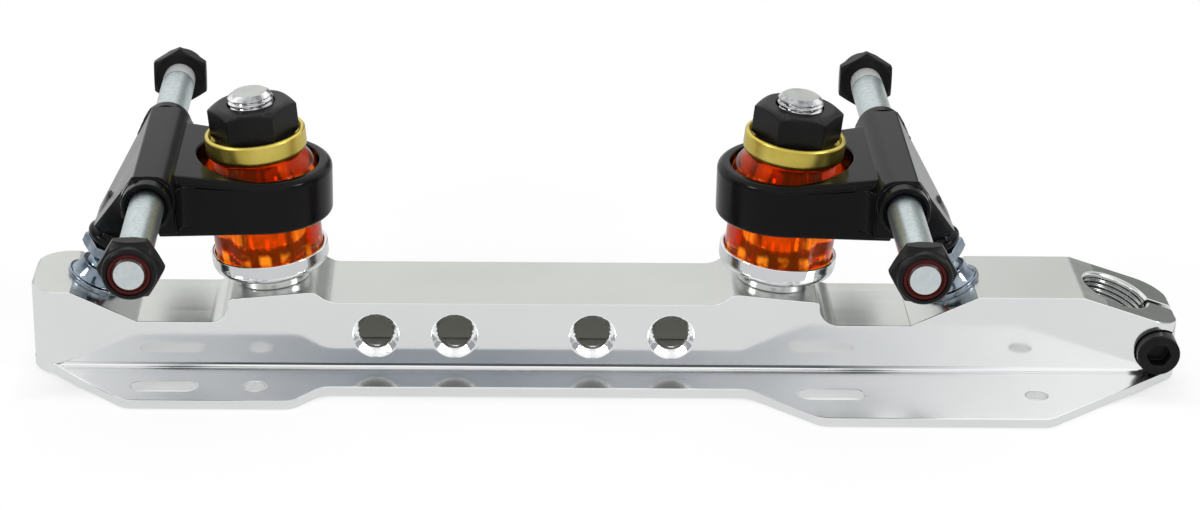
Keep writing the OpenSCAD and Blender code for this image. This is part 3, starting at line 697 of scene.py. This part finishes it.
def grow_end(piece, level, points):
    """Extrudes the ring of a tube at one level through (radius, height) points, and closes it."""
    bpy.ops.object.mode_set(mode="EDIT")
    bpy.ops.mesh.select_all(action="DESELECT")
    bpy.ops.object.mode_set(mode="OBJECT")
    for vertex in piece.data.vertices:
        if abs(vertex.co.z - level * MM) < SLIVER:
            vertex.select = True
    bpy.ops.object.mode_set(mode="EDIT")
    bpy.ops.mesh.select_mode(type="VERT")
    for radius, height in points:
        bpy.ops.mesh.extrude_region_move()
        bpy.ops.object.mode_set(mode="OBJECT")
        for vertex in piece.data.vertices:
            if vertex.select:
                flat = Vector((vertex.co.x, vertex.co.y, 0)).normalized() * radius * MM
                vertex.co = (flat.x, flat.y, height * MM)
        bpy.ops.object.mode_set(mode="EDIT")
    bpy.ops.mesh.edge_face_add()
    bpy.ops.object.mode_set(mode="OBJECT")


def kingpin(end):
    """Plain shank with a threaded, chamfered end."""
    node = f"{end}_kingpin"
    top = KINGPIN_TOP - PIN_LEAD
    piece = threaded_tube(f"{end}_threaded_kingpin", THREAD_R, THREAD_LOW, top, PIN_PITCH, PIN_DEPTH)
    activate(piece)
    shank = [(KINGPIN_R, THREAD_LOW - PIN_STEP), (KINGPIN_R, PIN_FOOT + PIN_CHAMFER)]
    grow_end(piece, THREAD_LOW, shank + [(KINGPIN_R - PIN_CHAMFER, PIN_FOOT)])
    grow_end(piece, top, [(THREAD_R - inset, KINGPIN_TOP - drop) for inset, drop in PIN_TIP])
    bpy.ops.object.mode_set(mode="EDIT")
    bpy.ops.mesh.select_all(action="SELECT")
    bpy.ops.mesh.normals_make_consistent(inside=False)
    bpy.ops.object.mode_set(mode="OBJECT")
    piece.data.transform(kingpin_frame(end))
    finish_piece(piece, STEEL, "plate", node, angle=30)


def truck(end):
    """Dresses the nodes of one truck and of the kingpin that holds it."""
    body = f"{end}_truck"
    side, axle = TRUCKS[end]
    for kind, name, material, width, home in (
        ("hanger", "black_hanger", ENAMEL, 0.4, body),
        ("axle_nuts", "oxide_axle_nuts", OXIDE, 0.2, body),
        ("lock_rings", "nylon_rings", NYLON, 0.35, body),
        ("jam_nut", "zinc_jam_nut", PIVOT_ZINC, 0.2, body),
        ("ball_socket", "zinc_socket", PIVOT_ZINC, 0.2, "plate"),
        ("kingpin_nut", "oxide_kingpin_nut", OXIDE, 0.25, "plate"),
    ):
        node = f"{end}_{kind}"
        plain = ((axle + side * ARM_OUT, 0, ARM_LOW), ARM_PLAIN) if kind == "hanger" else None
        piece = broken_edges(node, f"{end}_{name}", width, [MIDDLE] + across(axle), 3, plain)
        finish_piece(piece, material, home, node)
    for kind, material in (
        ("axle", AXLE_ZINC), ("ball_stud", PIVOT_ZINC), ("lower_cup", CHROME), ("upper_washer", BRASS),
    ):
        dress(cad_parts[f"{end}_{kind}"], material)
    kingpin(end)
    cushions(end)


plate()
clamp_screw()
stop_thread()
for end in TRUCKS:
    truck(end)


# Studio

def studio_world():
    """White tent; polished metal also finds the dark camera in front and dim patches round it."""
    world = bpy.data.worlds.new("white_tent")
    bpy.context.scene.world = world
    world.use_nodes = True
    n = Nodes(world.node_tree)
    n.tree.nodes.clear()
    direction = n.add("ShaderNodeTexCoord", out="Generated")
    tent = (1, 1, 1, 1)
    for towards, core, rim, colour in TENT_PATCHES:
        pair = {0: direction, 1: Vector(towards).normalized()}
        facing = n.add("ShaderNodeVectorMath", {"operation": "DOT_PRODUCT"}, pair, "Value")
        patch = n.add("ShaderNodeMapRange", {"interpolation_type": "SMOOTHSTEP"}, {
            "Value": facing,
            "From Min": math.cos(math.radians(rim)),
            "From Max": math.cos(math.radians(core)),
        })
        tent = n.mix(patch, tent, (*colour, 1))
    light = n.add("ShaderNodeBackground", None, {"Color": (1, 1, 1, 1), "Strength": TENT_LIGHT})
    seen = n.add("ShaderNodeBackground", None, {"Color": tent})
    shown = n.ray("Is Camera Ray").most(n.ray("Is Glossy Ray")).most(n.ray("Is Transmission Ray"))
    choice = n.add("ShaderNodeMixShader", None, {0: shown, 1: light, 2: seen})
    output = n.tree.nodes.new("ShaderNodeOutputWorld")
    n.link(choice, output.inputs["Surface"])


def studio_floor():
    """Pale floor: white where it is seen, with painted shade under the plate, and it keeps the object's
    shadow.
    """
    deselect()
    bpy.ops.mesh.primitive_plane_add(size=FLOOR_SIZE, location=(0, 0, FLOOR_Z))
    floor = bpy.context.object
    floor.name = "pale_floor"
    bpy.ops.object.transform_apply(location=True)
    f = Finish("pale_floor", Base_Color=(0.9, 0.9, 0.9, 1), Roughness=0.9, Specular_IOR_Level=0.0)
    camera_ray, glossy_ray = f.ray("Is Camera Ray"), f.ray("Is Glossy Ray")
    # Painted shade: under the plate the floor gets no glow, so only its lit part shows there
    beside = f.rise(f.part(f.place(), "Y").size(), *(MM * edge for edge in DIM_ACROSS))
    beyond = f.rise(f.part(f.place(), "X").size(), *(MM * edge for edge in DIM_ALONG))
    share = camera_ray.most(glossy_ray) * beside.most(beyond) * FLOOR_WHITE
    tone = f.mix(glossy_ray, WHITE_SEEN, WHITE_MIRRORED)
    glow = f.add("ShaderNodeEmission", None, {"Color": tone})
    plain = Field(f, f.shader.outputs[0])
    both = f.add("ShaderNodeMixShader", None, {0: share, 1: plain, 2: glow})
    f.link(both, f.output.inputs["Surface"])
    dress(floor, f.material)


def soft_box(name, place, target, size, power):
    """A rectangular lamp that faces a target."""
    data = bpy.data.lights.new(name, "AREA")
    data.shape, data.size, data.size_y, data.energy = "RECTANGLE", size[0], size[1], power
    lamp = bpy.data.objects.new(name, data)
    bpy.context.scene.collection.objects.link(lamp)
    lamp.location = place
    lamp.rotation_euler = (Vector(target) - Vector(place)).to_track_quat("-Z", "Y").to_euler()


def camera():
    """The photograph's camera, fitted to the object."""
    data = bpy.data.cameras.new("camera")
    data.sensor_fit, data.sensor_width = "HORIZONTAL", SENSOR
    data.lens = LENS
    data.shift_x, data.shift_y = SHIFT
    data.clip_start = 0.01
    item = bpy.data.objects.new("camera", data)
    bpy.context.scene.collection.objects.link(item)
    pitch, yaw, roll = (math.radians(angle) for angle in CAMERA_TURN)
    turn = Matrix.Rotation(-yaw, 4, "Z") @ Matrix.Rotation(math.pi / 2 - pitch, 4, "X")
    place = Matrix.Translation(CAMERA_AT)
    item.matrix_world = place @ turn @ Matrix.Rotation(roll, 4, "Z")
    bpy.context.scene.camera = item


studio_world()
studio_floor()
for box, (place, target, size, power) in SOFT_BOXES.items():
    soft_box(box, place, target, size, power)
camera()
bpy.context.scene.view_settings.view_transform = "Standard"
